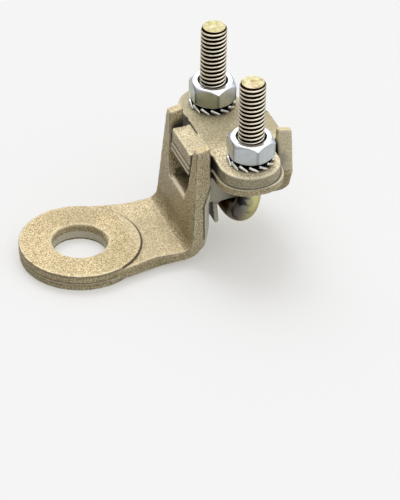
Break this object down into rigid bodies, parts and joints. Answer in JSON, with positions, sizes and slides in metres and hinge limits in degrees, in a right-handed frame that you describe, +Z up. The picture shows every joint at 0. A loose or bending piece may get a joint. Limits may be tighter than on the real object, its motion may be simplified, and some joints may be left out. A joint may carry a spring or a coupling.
{
  "type": "mechanical lug",
  "caption": "Cast mechanical lug: round palm with a stud hole, bent up into a saddle with posts, where a U-bolt, keeper, nuts and lock washers clamp a conductor.",
  "frame": {"origin": "centre of the palm's stud hole, on the contact face underneath", "axes": "+Z up along the stud hole and the U-bolt's studs, +X from the palm to the clamp along the conductor, +Y across to the left stud"},
  "size_m": [0.0814, 0.0512, 0.0619],
  "materials": {
    "lug_body": "sand-cast bronze with a dull, fine-grained skin",
    "keeper": "sand-cast bronze with a dull, fine-grained skin",
    "u_bolt": "steel with yellow-passivated zinc plating",
    "nut_left": "steel with bright zinc plating",
    "nut_right": "steel with bright zinc plating",
    "washer_left": "zinc-plated spring steel",
    "washer_right": "zinc-plated spring steel"
  },
  "bodies": {
    "lug": {"lug_body": "lug_body", "u_bolt": "u_bolt"},
    "clamp": {"keeper": "keeper", "washer_left": "washer_left", "washer_right": "washer_right"},
    "nut_left_body": {"nut_left": "nut_left"},
    "nut_right_body": {"nut_right": "nut_right"}
  },
  "joints": [
    {"name": "keeper_lift", "type": "slide", "parent": "lug", "child": "clamp", "axis": [0, 0, 1], "range_m": [0, 0.01693]},
    {"name": "nut_right_turn", "type": "hinge", "parent": "clamp", "child": "nut_right_body", "pos_m": [0.0479, -0.016, 0.0394], "axis": [0, 0, 1], "range_deg": [0, 4320]},
    {"name": "nut_left_turn", "type": "hinge", "parent": "clamp", "child": "nut_left_body", "pos_m": [0.0479, 0.016, 0.0394], "axis": [0, 0, 1], "range_deg": [0, 4320]}
  ],
  "couplings": [
    {"joint": "nut_right_turn", "follows": "keeper_lift", "rad_per_m": 4453},
    {"joint": "nut_left_turn", "follows": "keeper_lift", "rad_per_m": 4453}
  ]
}
